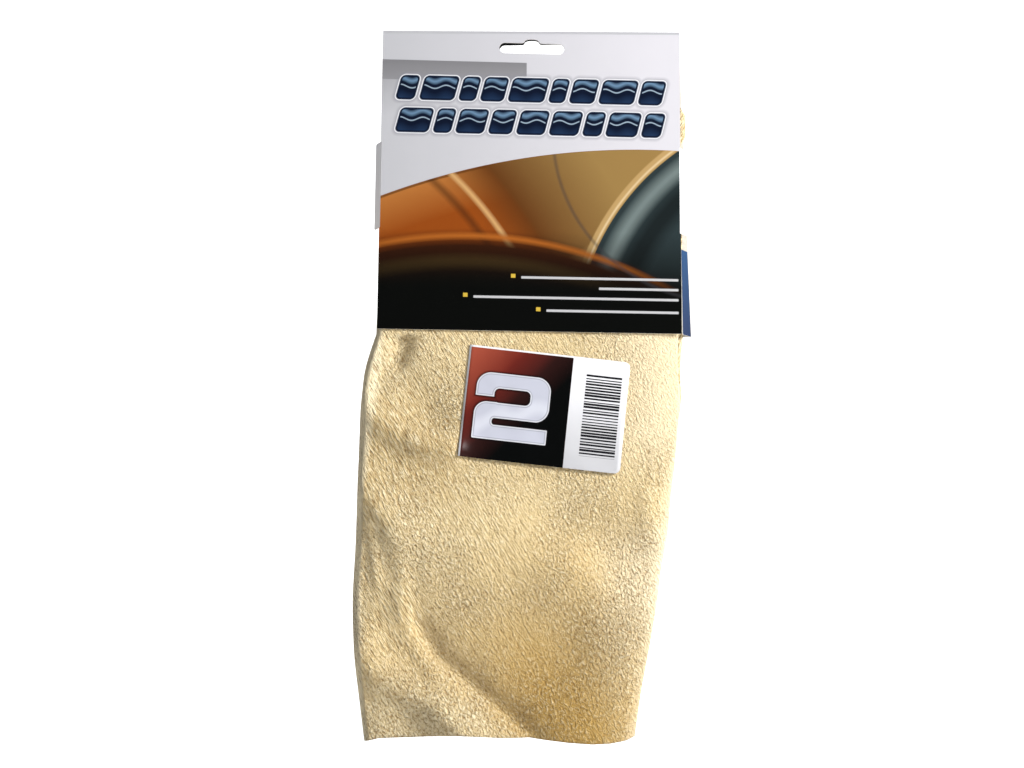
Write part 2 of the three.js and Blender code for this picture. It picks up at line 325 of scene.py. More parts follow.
# Pale for the nap's tops and the left fold's ridge, brown for the nap's pits: partly fibre colour, partly
# painted highlight and painted shade
RIDGE_FIBRE_AND_HIGHLIGHT = (250, 236, 200)
PIT_FIBRE_AND_SHADE = (142, 104, 44)
NAP_RELIEF = 2.6
CREASE_REACH = 357                 # drop less x along the deep crease at the lower left
LABEL_SHADE_DROP = 212                   # drop of the band of painted shade beside the label

# The leather's shape
# Each table pairs a share of the hanging stretch with a share of half the card's width
LEFT_SIDE_SHARES = np.array([
    (0, 1.05), (0.045, 1.09), (0.084, 1.12), (0.165, 1.147), (0.32, 1.167), (0.52, 1.187),
    (0.68, 1.208), (0.8, 1.195), (0.91, 1.164), (1, 1.136),
])
RIGHT_SIDE_SHARES = np.array([
    (0, 0.967), (0.09, 0.948), (0.17, 0.953), (0.25, 0.925), (0.33, 0.895), (0.41, 0.865),
    (0.5, 0.84), (0.57, 0.804), (0.65, 0.765), (0.73, 0.719), (0.8, 0.687), (0.87, 0.652), (1, 0.6),
])
MOUTH_SLANT_SHARE = 0.03
SLANT_END_SHARE = 0.33
FORWARD_SHARES = np.array([(0, 1), (0.15, 1.1), (0.374, 1.224), (0.74, 1.123), (1, 0.963)])
# The bottom edge: a share of half the card's width, and how far the edge hangs below its mean, in millimetres
SAG = np.array([
    (-84.5, 0.2), (-78, -1.3), (-62, -1.5), (-40.8, -2.4), (-30, -1.6), (-19.6, -0.4), (-6.3, 0.1),
    (-1.8, 0.8), (13, 2.6), (24, 3.4), (32.4, 3.1), (40.8, 1.7), (45, -0.2),
])
SAG_START_SHARE = 0.6
# The drape folds of the front layer: the height, which is below 0 for a valley, the breadth on the left and
# on the right of the line, then the line of the crest or the valley, as x and drop, from its upper end
FOLDS = [
    (1.6, 4, 6, [(-75, 153), (-78, 163), (-80.5, 173), (-83, 181)]),
    (-2.8, 6, 6.5, [(-66.5, 150), (-68, 164), (-73, 173), (-79, 181)]),
    (-2.4, 2.5, 5, [(-64.5, 150), (-66, 159), (-69, 168)]),
    (4.6, 8, 7.5, [(-84, 190), (-76, 198), (-68, 205), (-57, 209), (-43, 211.5)]),
    (1.5, 6, 6, [(-60, 208), (-46, 210)]),
    (-1.8, 6, 8, [(-64, 178), (-54, 193)]),
    (3.4, 8.5, 13, [(-87, 226), (-79, 236), (-71.5, 247), (-66.5, 260), (-64, 274), (-64, 287)]),
    (1.4, 6, 8, [(-88, 231), (-80, 240), (-74, 249)]),
    (0.9, 2.5, 2.5, [(-82.5, 248), (-80, 262), (-78.5, 277)]),
    (-3.3, 6, 10, [
        (-66, 269), (-62.5, 289), (-57, 301), (-49.5, 312.5), (-39.5, 322), (-27, 332), (-13, 343), (7, 361),
    ]),
    (-1.6, 3, 4.5, [
        (-61, 294), (-57, 301), (-49.5, 312.5), (-39.5, 322), (-27, 332), (-13, 343), (7, 361),
    ]),
    (1.7, 4, 4.5, [(-67, 267), (-65.5, 289), (-61.5, 301), (-57, 312), (-52, 321)]),
    (5.0, 9.5, 8.5, [(-86, 310), (-78, 319), (-69, 325.5), (-57, 333.5), (-48, 340), (-38, 349), (-27, 360)]),
    (2.6, 8, 14, [(-47, 341), (-31, 360)]),
    (1.0, 5, 7, [(-84, 298), (-80.5, 316), (-78, 332), (-77, 358)]),
    (-2.2, 14, 12, [(12, 250), (29, 257.5), (45, 266), (66, 269)]),
    (1.5, 6.5, 5, [(53.5, 236), (54, 254), (58.5, 261)]),
    (3.0, 20, 14, [(12, 272), (40, 288), (64, 300)]),
    (4.2, 32, 24, [(-58, 250), (0, 274), (52, 300)]),
    (2.3, 20, 18, [(35, 312), (41, 340), (42, 361)]),
]
EDGE_ROLL = 2.6                    # how far the right edge falls back, and over what width
EDGE_ROLL_WIDTH = 15
FOLD_START_SHARE = 0.016           # the hanging stretch over which the folds come up below the card
BACK_LAYER_SHARE = 0.65            # how much of a crest still shows in the layer at the back
# Slow unevenness: the height, the grain and the seed of each layer of noise, then the streaks
WAVES = [(0.16, 17, 1), (0.1, 8, 2)]
STREAK_ANGLE = math.radians(60)
STREAK_HEIGHT, STREAK_GRAIN, STREAK_SEED = 0.1, 3.2, 3
STREAK_STRETCH = 3
STREAK_SHIFT = 2000                # keeps the streaks' noise off its grid's middle
NOISE_CELLS = 256                  # the side of the square of random values, which repeats

OUTER_ROUND_SHARE = 0.55           # how round the outer fold is: 1 for half a circle
NEST = 5.25                        # how far the inner fold lies inside the outer one
UNROLL_LINE = -95                  # where the unrolled hide's front half meets its back half
HIDE_BACK = FOLD_RADIUS - BOARD - PANEL_CLEARANCE
ROW_STEP = 1.13
SLEEVE_STEP = 9
FRONT_STEPS = 148
OUTER_FOLD_STEPS = 14
BACK_STEPS = 46
INNER_FOLD_STEPS = 6
NESTED_STEPS = 12
PEEK = 2.8                         # how far the back layers stand out of the card at the upper right
PEEK_RISE = (HIDE_DROP - 1, HIDE_DROP + 5)
PEEK_FALL = (54, 59)
PEEK_END = 62
PEEK_ROWS = 12


def smooth_table(table, value):
    """A table of pairs read as a curve: cubic pieces whose slope at a row is the mean slope round it."""
    key, level = table[:, 0], table[:, 1]
    slope = np.gradient(level, key)
    index = np.clip(np.searchsorted(key, value) - 1, 0, len(key) - 2)
    width = key[index + 1] - key[index]
    t = np.clip((value - key[index]) / width, 0, 1)
    start, end = level[index], level[index + 1]
    return (
        start * (1 + 2 * t) * (1 - t) ** 2 + slope[index] * width * t * (1 - t) ** 2
        + end * t ** 2 * (3 - 2 * t) + slope[index + 1] * width * t ** 2 * (t - 1)
    )


def smoothstep(value, start, end):
    """0 before the start, 1 after the end, and 3t^2 - 2t^3 between. The start may be the greater one."""
    t = np.clip((value - start) / (end - start), 0, 1)
    return t * t * (3 - 2 * t)


def soft_noise(u, v, grain, seed):
    """Smooth noise from -1 to 1: random values on a square grid of that grain, joined by smooth steps."""
    values = np.random.default_rng(seed).uniform(-1, 1, (NOISE_CELLS, NOISE_CELLS))
    column, row = np.floor(u / grain).astype(int), np.floor(v / grain).astype(int)
    across, down = smoothstep(u / grain - column, 0, 1), smoothstep(v / grain - row, 0, 1)
    corner = [
        [values[(row + j) % NOISE_CELLS, (column + i) % NOISE_CELLS] for i in (0, 1)] for j in (0, 1)
    ]
    upper = corner[0][0] * (1 - across) + corner[0][1] * across
    lower = corner[1][0] * (1 - across) + corner[1][1] * across
    return upper * (1 - down) + lower * down


def hide_front(drop):
    """The y of the front layer's face without its folds: behind the leaning panel, then a slow belly."""
    covered = np.minimum(drop, CARD_HEIGHT) - FOLD_RADIUS
    inside = FOLD_RADIUS - BOARD + covered * math.tan(LEAN) - PANEL_CLEARANCE
    share = np.maximum(drop - CARD_HEIGHT, 0) / HANG_LENGTH
    return -inside * smooth_table(FORWARD_SHARES, share)


def hide_sides(drop, y):
    """The leather's left and right side at a height and a depth."""
    share = (drop - CARD_HEIGHT) / HANG_LENGTH
    depth = (HIDE_BACK - y) / (HIDE_BACK - hide_front(drop))
    spread = smoothstep(drop, UPPER_TAB_DROP + UPPER_TAB_HEIGHT, CARD_HEIGHT)
    left_inside = HALF_CARD - LEFT_CLEARANCE
    left_inside = left_inside + (HALF_CARD * LEFT_SIDE_SHARES[0, 1] - left_inside) * spread
    left = np.where(share > 0, HALF_CARD * smooth_table(LEFT_SIDE_SHARES, share), left_inside)
    front_edge = HALF_CARD - drop * math.tan(SKEW) - RIGHT_CLEARANCE
    peek = PEEK * smoothstep(drop, *PEEK_RISE) * (1 - smoothstep(drop, *PEEK_FALL))
    right_inside = HALF_CARD + (front_edge - HALF_CARD) * depth + peek * smoothstep(depth, 0.8, 0.2)
    slant = MOUTH_SLANT_SHARE * (1 - 2 * depth) * np.maximum(1 - share / SLANT_END_SHARE, 0)
    right_below = HALF_CARD * (smooth_table(RIGHT_SIDE_SHARES, share) + slant)
    return -left, np.where(share > 0, right_below, right_inside)


def distance_to_line(x, drop, line):
    """The distance from each point to the nearest of the line's straight pieces, and its side from -1 to 1.

    The side is the sine of the angle that the nearest piece is seen at, so it turns smoothly round the
    line's ends. It is 1 on the right of a line whose points are given from its upper end.
    """
    nearest, side = np.full(np.shape(x), np.inf), np.ones(np.shape(x))
    for (x1, d1), (x2, d2) in zip(line, line[1:]):
        along = (x2 - x1, d2 - d1)
        length = math.hypot(*along)
        t = np.clip(((x - x1) * along[0] + (drop - d1) * along[1]) / length ** 2, 0, 1)
        away = np.hypot(x - x1 - t * along[0], drop - d1 - t * along[1])
        across = ((x - x1) * along[1] - (drop - d1) * along[0]) / length
        side = np.where(away < nearest, across / np.maximum(away, 1e-6), side)
        nearest = np.minimum(nearest, away)
    return nearest, side


def relief(x, drop):
    """How far the front layer stands forward: bell-shaped folds, added up, less the roll of the right edge.

    A fold is its height times e to the minus square of the distance over the breadth on that side.
    """
    lift = np.zeros(np.shape(x))
    for height, left, right, line in FOLDS:
        away, side = distance_to_line(x, drop, line)
        breadth = left + (right - left) * smoothstep(side, -1, 1)
        lift = lift + height * np.exp(-((away / breadth) ** 2))
    share = (drop - CARD_HEIGHT) / HANG_LENGTH
    edge = HALF_CARD * smooth_table(RIGHT_SIDE_SHARES, np.maximum(share, 0))
    roll = np.clip((x - edge + EDGE_ROLL_WIDTH) / EDGE_ROLL_WIDTH, 0, 1)
    return (lift - EDGE_ROLL * roll * roll) * smoothstep(share, 0, FOLD_START_SHARE)


def waves(x, drop):
    """Slow unevenness of the hide, with faint streaks that run steeply down to the right."""
    along = x * math.cos(STREAK_ANGLE) + drop * math.sin(STREAK_ANGLE)
    across = drop * math.cos(STREAK_ANGLE) - x * math.sin(STREAK_ANGLE)
    streaks = soft_noise(along / STREAK_STRETCH, across + STREAK_SHIFT, STREAK_GRAIN, STREAK_SEED)
    lift = sum(height * soft_noise(x, drop, grain, seed) for height, grain, seed in WAVES)
    lift = lift + STREAK_HEIGHT * streaks
    return lift * smoothstep(drop, CARD_HEIGHT - 2, CARD_HEIGHT + 12)


def strip_columns():
    """The folded strip's columns, from the front layer's free edge inwards.

    Each has its depth share, its share of the way across, how far it lies out in the outer and in the inner
    folds, whether it keeps clear of the right fold, and its place on the unrolled hide.
    """
    third = 1 / 3

    def run(count, depth, across, outer=0.0, inner=0.0, clear=1.0, half=1.0):
        t = np.linspace(0, 1, count + 1)[1:]
        bend = (1 - np.cos(math.pi * t)) / 2
        turning = depth[0] != depth[1]
        return np.stack([
            depth[0] + (depth[1] - depth[0]) * bend,
            across[0] + (across[1] - across[0]) * t,
            outer * np.sin(math.pi * t),
            inner * np.sin(math.pi * t),
            np.full(count, clear),
            t if turning and outer else np.full(count, half),
        ])

    first = np.array([[0.0], [1.0], [0.0], [0.0], [0.0], [0.0]])
    return np.concatenate([
        first,
        run(FRONT_STEPS, (0, 0), (1, 0), clear=0.0, half=0.0),
        run(OUTER_FOLD_STEPS, (0, 1), (0, 0), outer=-1.0),
        run(BACK_STEPS, (1, 1), (0, 1)),
        run(INNER_FOLD_STEPS, (1, 2 * third), (1, 1), inner=1.0),
        run(NESTED_STEPS, (2 * third, 2 * third), (1, 0)),
        run(INNER_FOLD_STEPS, (2 * third, third), (0, 0), inner=-1.0),
        run(NESTED_STEPS, (third, third), (0, 1)),
    ], axis=1)


def hide_surface():
    """The middle surface of the folded hide as a grid of points, rows down and columns along the strip.

    Also gives each point's place on the unrolled hide, whose front half keeps x and whose back half is
    its mirror image about the unroll line.
    """
    depth, across, outer, inner, clear, half = strip_columns()
    nested = (depth > 0.1) & (depth < 0.9) & (outer == 0)
    sleeve = np.arange(PEEK_END, CARD_HEIGHT - SLEEVE_STEP, SLEEVE_STEP)
    sleeve = np.concatenate([np.linspace(HIDE_DROP, PEEK_END, PEEK_ROWS)[:-1], sleeve])
    rows = int((HANG_LENGTH + SLEEVE_STEP) / ROW_STEP)
    hanging = np.linspace(CARD_HEIGHT - SLEEVE_STEP, HIDE_END, rows)
    drop = np.concatenate([sleeve, hanging])[:, None]
    front = hide_front(drop) + HIDE / 2
    back = HIDE_BACK - HIDE / 2
    y = front + (back - front) * depth
    left, right = hide_sides(drop, y)
    outer_reach = OUTER_ROUND_SHARE * (back - front) / 2
    inner_reach = (back - front) / 6
    start = left + HIDE / 2 + outer_reach
    start = np.where(nested, left + HIDE * 1.5 + inner_reach + NEST, start)
    end = right - (HIDE / 2 + inner_reach) * clear
    x = start + (end - start) * across + outer_reach * outer + inner_reach * inner
    drop = drop + np.zeros_like(x)
    sag = np.interp(x, SAG[:, 0], SAG[:, 1])
    hang = smoothstep((drop - CARD_HEIGHT) / HANG_LENGTH, SAG_START_SHARE, 1)
    depth_share = (HIDE_BACK - y) / (HIDE_BACK - front)
    unrolled = np.where(half > 0, x + (2 * UNROLL_LINE - 2 * x) * half, x)
    folds = relief(x, drop)
    back_share = np.where(folds > 0, BACK_LAYER_SHARE, 0)
    lift = folds * (back_share + (1 - back_share) * depth_share) + waves(unrolled, drop)
    points = np.stack([x, y - lift, FOLD_TOP - drop - sag * hang], axis=-1)
    return points, np.stack([unrolled, -drop], axis=-1)


def sheet_mesh(middle, thickness):
    """A closed sheet round a grid of middle points: each face lies half the thickness out along the normal.

    The normal is the cross product of the grid's two directions. Returns the points and the faces.
    """
    down = np.gradient(middle, axis=0)
    along = np.gradient(middle, axis=1)
    normal = np.cross(along, down)
    normal /= np.linalg.norm(normal, axis=-1, keepdims=True)
    outer, inner = middle + normal * thickness / 2, middle - normal * thickness / 2
    rows, columns = middle.shape[:2]
    grid = np.arange(rows * columns).reshape(rows, columns)
    quads = np.stack([grid[:-1, :-1], grid[:-1, 1:], grid[1:, 1:], grid[1:, :-1]], axis=-1).reshape(-1, 4)
    rim = np.concatenate([grid[0, :], grid[1:, -1], grid[-1, -2::-1], grid[-2:0:-1, 0]])
    following = np.roll(rim, -1)
    shift = rows * columns
    rims = np.stack([rim, rim + shift, following + shift, following], axis=-1)
    faces = np.concatenate([quads, quads[:, ::-1] + shift, rims])
    return np.concatenate([outer.reshape(-1, 3), inner.reshape(-1, 3)]), faces


def chamois_material():
    """Napped hide: wrinkled streaks and fine grain raise the surface, pale on the ridges and brown in the
    pits, partly the fibres' colour and partly painted highlight and painted shade.

    The colour turns golden towards the bottom, partly the hide's tone and partly painted shade. Painted light
    makes it pale at the right, on the left, along the left fold's ridge and on the corner left of the deep
    crease, and painted shade darkens a band left of the label and the hollow right of that crease.
    """
    paint = Paint("chamois_nap", 0.92, NAP)
    place = paint.uv("surface")
    streak = paint.placed(place, rotation=(0, 0, STREAK_ANGLE))
    wrinkle = paint.noise(paint.placed(streak, scale=(0.19, 1.0, 1)), 2.0, 0.6, 0.4)
    grain = paint.noise(paint.placed(streak, scale=(0.62, 0.9, 1)), 2.0, 0.6, 0.6)
    x, up, _ = paint.split(place)
    drop = -up
    # How wrinkled the nap is: 0 where it is fine grain, 1 where it runs in long streaks
    region = paint.noise(paint.placed(place, scale=(0.03, 0.022, 1)), 1.0).ramp(0.3, 0.7) * 0.6
    region = (region + x.ramp(40, -60) * 0.45 + drop.ramp(340, 200) * 0.15 - 0.15).clamp()
    # Painted light: pale beside the label and along the right rim, where the relief is also flatter
    share = drop.ramp(CARD_HEIGHT, HIDE_END)
    rim = (x + share * 14 + share * share * 13.5).ramp(66, 75)
    pale = (x.ramp(22, 56) * drop.ramp(228, 204) * 0.7).most(rim)
    contrast = x.ramp(0, -65) * 0.65 + (-pale * 0.6 + 0.78)
    height = (wrinkle - 0.5) * region + (grain - 0.5) * region.inverse() * 1.9
    height = height * contrast + 0.5
    # Golden towards the bottom, partly the hide's tone and partly painted shade: less on the corner left of
    # the deep crease, which is painted light, more in the hollow on its right, which is painted shade, and
    # less towards the right
    patches = paint.noise(paint.placed(place, location=(7, 3, 0), scale=(0.022, 0.022, 1)), 2.0)
    beyond = x - drop + CREASE_REACH
    lit_corner = beyond.ramp(0, -20) * drop.ramp(315, 338)
    deep = beyond.ramp(0, 25) * x.ramp(38, 16) * drop.ramp(275, 315)
    strength = -lit_corner * 0.75 + deep * 0.3 - x.ramp(25, 45) * 0.25 + 0.78
    golden = (drop.ramp(235, 340) * strength + patches.ramp(0.45, 0.7) * 0.12).clamp()
    # Painted highlight along the ridge of the left fold
    turn = (-(x - UNROLL_LINE).size() + drop.ramp(240, 160) * 11 + 10).ramp(0, 3)
    # Golden, partly the hide's tone and partly painted shade
    paint.over(GOLDEN, golden)
    # Painted light: paler towards the left
    paint.over((228, 207, 162), x.ramp(0, -70) * 0.5)
    # Painted shade: a duller band of the leather left of the label
    paint.over((192, 166, 116), (drop - LABEL_SHADE_DROP).size().ramp(40, 14) * x.ramp(-22, -46) * 0.7)
    # Painted light: paler on the right, lower down
    paint.over((240, 223, 188), x.ramp(20, 52) * drop.ramp(244, 264) * drop.ramp(335, 285) * 0.6)
    # Painted light beside the label and along the right rim
    paint.over((238, 224, 196), pale * 0.6)
    # Painted highlight on the left fold's ridge
    paint.over(RIDGE_FIBRE_AND_HIGHLIGHT, turn * 0.7)
    # Nap tops paler and pits browner: partly the fibres' colour, partly painted highlight and painted shade
    paint.over(RIDGE_FIBRE_AND_HIGHLIGHT, height.ramp(0.52, 0.76) * (-golden * 0.3 + 0.7))
    paint.over(PIT_FIBRE_AND_SHADE, height.ramp(0.48, 0.24) * 0.7)
    paint.bump(height, NAP_RELIEF)
    paint.shader.inputs["Specular IOR Level"].default_value = 0.2
    paint.shader.inputs["Sheen Weight"].default_value = 0.15
    paint.shader.inputs["Sheen Roughness"].default_value = 0.6
    return paint.done()


def add_chamois():
    """The one hide, folded in four, with both its faces, its rims and its free edges."""
    middle, unrolled = hide_surface()
    points, faces = sheet_mesh(middle, HIDE)
    uv = np.tile(unrolled.reshape(-1, 2), (2, 1))
    hide = add_mesh("chamois_hide", points, faces, chamois_material(), uv=uv)
    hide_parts("chamois")
    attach(hide, "leather")


# The printed card
# Each row has the drop of its middle, then the middle and half the width of each shape
CHROME_SHAPES = [
    (31.3, [
        (-62, 4.6), (-46.2, 8.6), (-31, 4.2), (-18.6, 5.8), (-1.5, 9), (13.9, 4), (26.5, 6.2), (43.9, 8.8),
        (60.9, 5.8),
    ]),
    (48.2, [
        (-58.4, 8.2), (-43.4, 4.4), (-29.6, 7), (-14.4, 5.8), (0.8, 7), (17.4, 7.2), (31.6, 4.6), (46.4, 7.8),
        (61.4, 4.8),
    ]),
]
CHROME_HALF_HEIGHT = 6.2
CHROME_ROUND = 2.2
CHROME_SLANT = 0.25
# The grey band's top, bottom and right end
BAND_TOP, BAND_BOTTOM, BAND_END = 17, 27.4, -2.5
# Each white rule's two ends and drop, and each gold square's middle
RULES = [(-4.5, 73.5, 127.5), (34, 73.5, 132.5), (-28, 73.5, 137.6), (8, 73.5, 144)]
SQUARES = [(-8.5, 126.8), (-32, 136.8), (4, 143.4)]
CUT_BOARD = (238, 235, 228)


def box_distance(x, y, half_width, half_height, radius):
    """How far outside a rounded box a point is, from the box's middle.

    It is the length of what lies beyond the inner box, which the radius rounds, or inside that box the way to
    its nearest side, below 0, less the radius.
    """
    over_x, over_y = x.size() - (half_width - radius), y.size() - (half_height - radius)
    beyond_x, beyond_y = over_x.most(0.0), over_y.most(0.0)
    return (beyond_x * beyond_x + beyond_y * beyond_y).root() + over_x.most(over_y).least(0.0) - radius


def box_at(x, y, box):
    """The same, for a box given by its middle, half its width and height, and its corner radius."""
    middle_x, middle_y, half_width, half_height, radius = box
    return box_distance(x - middle_x, y - middle_y, half_width, half_height, radius)


def ring_distance(x, y, centre, radius):
    """The distance outwards from a circle's line."""
    across, down = x - centre[0], y - centre[1]
    return (across * across + down * down).root() - radius


def print_front(paint, x, drop):
    """The front's print: silver ground, paler to the right with painted light, grey band, two rows of chrome
    shapes, and sweeping bands below.
    """
    # Painted light: the silver ground grows paler to the right
    paint.over((193, 191, 196), x.ramp(-70, 60))
    fade = drop.ramp(46, 22) * x.ramp(-30, -75) * 0.45
    under = drop.above(BAND_TOP, 0.3)
    band = under * drop.below(BAND_BOTTOM, 0.3) * x.below(BAND_END, 0.3)
    paint.over((92, 91, 93), (band * (drop.ramp(40, 14) * 0.4 + 0.45)).most(fade * under))
    for middle, shapes in CHROME_SHAPES:
        level = drop - middle
        away = None
        for centre, half in shapes:
            slanted = x - centre + level * CHROME_SLANT
            shape = box_distance(slanted, level, half, CHROME_HALF_HEIGHT, CHROME_ROUND)
            away = shape if away is None else away.least(shape)
        shape_print(paint, away, level, x)
    sweeping_picture(paint, x, drop)


def shape_print(paint, away, level, x):
    """Chrome shapes: a soft shade, a white rim, a grey line, then navy with pale wavy bands."""
    paint.over((122, 122, 130), (away.ramp(2.6, 0.6)) * 0.6)
    paint.over((214, 214, 217), away.below(0.75, 0.25))
    paint.over((74, 82, 98), away.below(0.3, 0.25))
    paint.over((10, 18, 36), away.below(0, 0.25))
    inside = away.below(-0.75, 0.3)
    wavy = level + (x * 0.55).math("SINE") * 0.9
    paint.over((92, 120, 146), inside * (wavy + 4.2).size().ramp(1.9, 0.2) * 0.95)
    paint.over((27, 45, 72), inside * wavy.ramp(1.5, 6) * 0.9)
    paint.over((160, 180, 196), inside * (wavy + 0.6).size().ramp(0.5, 0.1) * 0.75)


def sweeping_picture(paint, x, drop):
    """Wide glossy bands on arcs of circles, orange to gold above, dark teal between, and black below."""
    sky = ring_distance(x, drop, (60, 414), 353)
    picture = sky.below(0, 0.4)
    paint.over((132, 64, 18), picture)
    paint.over((164, 104, 50), picture * sky.ramp(-20, -2) * 0.85)
    paint.over((34, 22, 14), picture * (sky + 0.5).size().below(0.7, 0.5) * 0.6)
    first = ring_distance(x, drop, (-160, 204), 176)
    paint.over((86, 48, 18), picture * first.ramp(-6, 16))
    paint.over((136, 108, 62), picture * first.ramp(14, 60))
    paint.over((190, 150, 98), picture * first.size().ramp(2.2, 0.2) * 0.9)
    paint.over((46, 26, 12), picture * (first + 9).size().ramp(3.2, 0.4) * 0.55)
    wave = ring_distance(x, drop, (-40, 20), 118)
    paint.over((170, 132, 84), picture * wave.size().ramp(5, 0.5) * first.ramp(-4, 8) * 0.55)
    second = ring_distance(x, drop, (150, 164), 128)
    paint.over((38, 48, 50), picture * second.below(0, 0.5))
    paint.over((112, 124, 122), picture * (second + 8).size().ramp(6, 0.5) * 0.75)
    paint.over((16, 21, 22), picture * (second + 20).size().ramp(9, 2) * 0.8)
    paint.over((166, 136, 88), picture * (second - 2.2).size().below(2.0, 0.8) * 0.95)
    paint.over((200, 178, 140), picture * (second - 1.5).size().ramp(0.8, 0.1) * 0.8)
    third = ring_distance(x, drop, (-30, 314), 206)
    paint.over((52, 24, 9), picture * third.ramp(5, -4))
    paint.over((17, 12, 7), picture * third.ramp(-3, -22))
    paint.over((168, 94, 34), picture * (third - 1).size().ramp(2.4, 0.2) * 0.85)
    paint.over((84, 66, 34), picture * (third + 12).size().ramp(5, 1) * 0.45)
    paint.over((5, 6, 5), picture * drop.ramp(104, 134))
    fourth = ring_distance(x, drop, (95, 54), 84)
    paint.over((48, 47, 50), picture * fourth.size().ramp(1.4, 0.2) * 0.45)
    for start, end, level in RULES:
        rule = box_distance(x - (start + end) / 2, drop - level, (end - start) / 2, 0.6, 0.3)
        paint.over((184, 184, 186), rule.below(0, 0.25) * 0.9)
    for centre, level in SQUARES:
        square = box_distance(x - centre, drop - level, 1.1, 1.0, 0.2)
        paint.over((190, 160, 60), square.below(0, 0.25))


def board_edges(paint, depth, drop):
    """Bare board behind the print: white on the cut edges, greyer on the inner face, with painted shade round
    the slot.
    """
    bare = depth.size().above(COAT, 0.04)
    paint.over(CUT_BOARD, bare)
    speckle = paint.noise(paint.placed(paint.coordinates(), scale=(900, 900, 900)), 3.0)
    inner = depth.size().above(BOARD - 0.04, 0.03)
    paint.over((206, 202, 194), inner)
    paint.over((176, 171, 162), inner * speckle.ramp(0.5, 0.8) * 0.6)
    # Painted shade on the inner face under the fold, round the hang slot
    paint.over((26, 26, 29), inner * drop.below(SLOT_SHADE_BAND, 0.3))
    return bare


def coated(paint, bare=None, gloss=0.05):
    """The coat over the print is glossy, with faint waves, and the bare board is matt."""
    paint.shader.inputs["Specular IOR Level"].default_value = gloss
    if bare is not None:
        paint.tree.links.new((bare * 0.5 + 0.32).socket, paint.shader.inputs["Roughness"])
    ripple = paint.noise(paint.placed(paint.coordinates(), scale=(45, 45, 45)), 1.0)
    paint.bump(ripple, 0.12)


def front_print_material(name):
    """The front panel's print."""
    paint = Paint(name, 0.35, (174, 174, 178))
    x, depth, drop = panel_coordinates(paint, panel_matrix(-1))
    print_front(paint, x, drop)
    bare = board_edges(paint, depth, drop)
    coated(paint, bare)
    return paint.done()


def back_print_material():
    """The back panel's print: a plain blue that deepens downwards."""
    paint = Paint("board_back_print", 0.35, (96, 132, 178))
    _, depth, drop = panel_coordinates(paint, panel_matrix(1))
    paint.over((60, 72, 112), drop.ramp(20, 150))
    bare = board_edges(paint, depth, drop)
    coated(paint, bare)
    return paint.done()


def fold_material():
    """The strip over the fold: the front's silver outside, paler where the fold has cracked the coat."""
    paint = Paint("board_fold_print", 0.4, (168, 168, 172))
    _, y, z = paint.split(paint.placed(paint.coordinates(), scale=(1 / MM,) * 3))
    radius = (y * y + (z - FOLD_LINE) * (z - FOLD_LINE)).root()
    crack = paint.noise(paint.placed(paint.coordinates(), scale=(500, 2500, 2500)), 3.0)
    paint.over((214, 213, 210), crack.ramp(0.5, 0.75) * z.ramp(FOLD_LINE + 0.6, FOLD_TOP))
    paint.over(CUT_BOARD, radius.below(FOLD_RADIUS - COAT, 0.04))
    return paint.done()


def bare_board_material():
    """The white of the board's cut edges and the tabs' inner faces, with fibres."""
    paint = Paint("board_bare", 0.8, (236, 233, 226))
    fibre = paint.noise(paint.placed(paint.coordinates(), scale=(900, 900, 900)), 3.0)
    paint.over((206, 200, 190), fibre.ramp(0.5, 0.8) * 0.5)
    paint.bump(fibre, 0.05)
    return paint.done()


def tab_material(name, matrix, light, dark, top, bottom, gloss=0.05):
    """A tab's printed face, light above and dark below."""
    paint = Paint(name, 0.32, light)
    _, _, drop = panel_coordinates(paint, matrix)
    paint.over(dark, drop.ramp(top, bottom))
    coated(paint, gloss=gloss)
    return paint.done()


def extrude_profile(profile, top, bottom, matrix):
    """A wall from a closed profile in x and y, swept from the top to the bottom, with flat ends.

    Returns the points, moved by the matrix, and the faces.
    """
    count = len(profile)
    upper = np.column_stack([profile, np.full(count, top)])
    lower = np.column_stack([profile, np.full(count, bottom)])
    points = np.concatenate([upper, lower])
    turned = points @ np.array(matrix.to_3x3()).T + np.array(matrix.translation)
    index = np.arange(count)
    following = np.roll(index, -1)
    sides = np.stack([index, index + count, following + count, following], axis=-1).tolist()
    return turned, [*sides, index.tolist(), (index[::-1] + count).tolist()]


def add_top_fold():
    """The board over the top of the card: a half ring with short straight ends that meet the panels."""
    angle = np.linspace(0, math.pi, 25)
    arc = np.column_stack([np.cos(angle), np.sin(angle)])
    inside = FOLD_RADIUS - BOARD
    ring = np.concatenate([
        [[FOLD_RADIUS, -SEAM]], arc * FOLD_RADIUS, [[-FOLD_RADIUS, -SEAM], [-inside, -SEAM]],
        arc[::-1] * inside, [[inside, -SEAM]],
    ])
    turn = Matrix(((0, 0, 1, 0), (1, 0, 0, 0), (0, 1, 0, FOLD_LINE), (0, 0, 0, 1)))
    points, faces = extrude_profile(ring, HALF_CARD, -HALF_CARD, turn)
    strip = add_mesh("card_fold", points, faces, fold_material(), smooth=False)
    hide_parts("card_top_fold")
    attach(strip, "back_panel")


